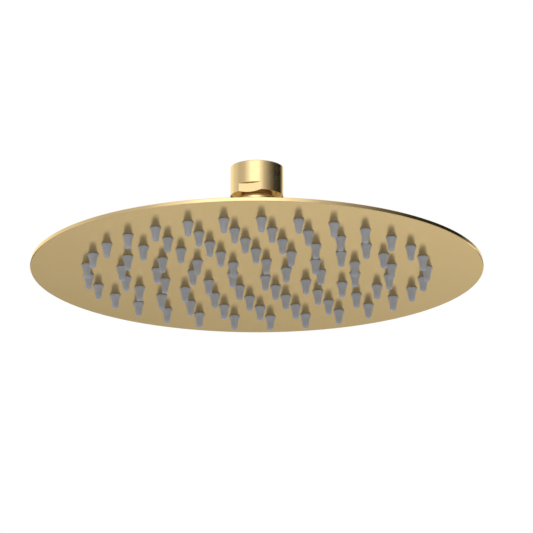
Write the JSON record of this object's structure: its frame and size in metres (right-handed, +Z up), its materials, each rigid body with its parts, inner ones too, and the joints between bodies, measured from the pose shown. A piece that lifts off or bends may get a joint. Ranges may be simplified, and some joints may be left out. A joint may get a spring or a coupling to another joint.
{
  "type": "round rain shower head",
  "caption": "Slim round rain shower head: a flat two-sheet disc with rings of soft tapered nozzles, on a ball joint with a wrench-flatted female inlet collar.",
  "frame": {"origin": "centre of the inlet collar's mouth, on the thread's axis", "axes": "+Z up along the inlet thread, out of its mouth; the spray face looks down -Z; +Y is the row on which every nozzle ring starts"},
  "size_m": [0.2, 0.2, 0.0528],
  "materials": {
    "gold_brass": "satin gold plating on turned brass",
    "gold_steel": "satin gold plating on stainless sheet",
    "gauze_steel": "woven gauze",
    "black_rubber": "matte moulded",
    "white_acetal": "moulded",
    "seat_ptfe": "turned, bronze-filled",
    "grey_silicone": "matte moulded"
  },
  "bodies": {
    "connector": {"swivel_connector": "gold_brass", "inlet_strainer": "gauze_steel", "inlet_washer": "black_rubber", "flow_regulator": "white_acetal", "flow_regulator_ring": "black_rubber"},
    "upper_seat": {"upper_ball_seat": "seat_ptfe"},
    "lower_seat": {"lower_ball_seat": "seat_ptfe"},
    "head": {"ball_nut": "gold_brass", "ball_socket": "gold_brass", "back_plate": "gold_steel", "face_plate": "gold_steel", "nozzle_ring_1": "grey_silicone", "nozzle_ring_2": "grey_silicone", "nozzle_ring_3": "grey_silicone", "nozzle_ring_4": "grey_silicone", "nozzle_ring_5": "grey_silicone"}
  },
  "joints": [
    {"name": "swivel_turn", "type": "hinge", "parent": "connector", "child": "upper_seat", "pos_m": [0, 0, -0.0307], "axis": [0, 0, 1], "continuous": true},
    {"name": "tilt_side", "type": "hinge", "parent": "upper_seat", "child": "lower_seat", "pos_m": [0, 0, -0.0307], "axis": [1, 0, 0], "range_deg": [-12, 12]},
    {"name": "tilt_front", "type": "hinge", "parent": "lower_seat", "child": "head", "pos_m": [0, 0, -0.0307], "axis": [0, 1, 0], "range_deg": [-12, 12]}
  ]
}
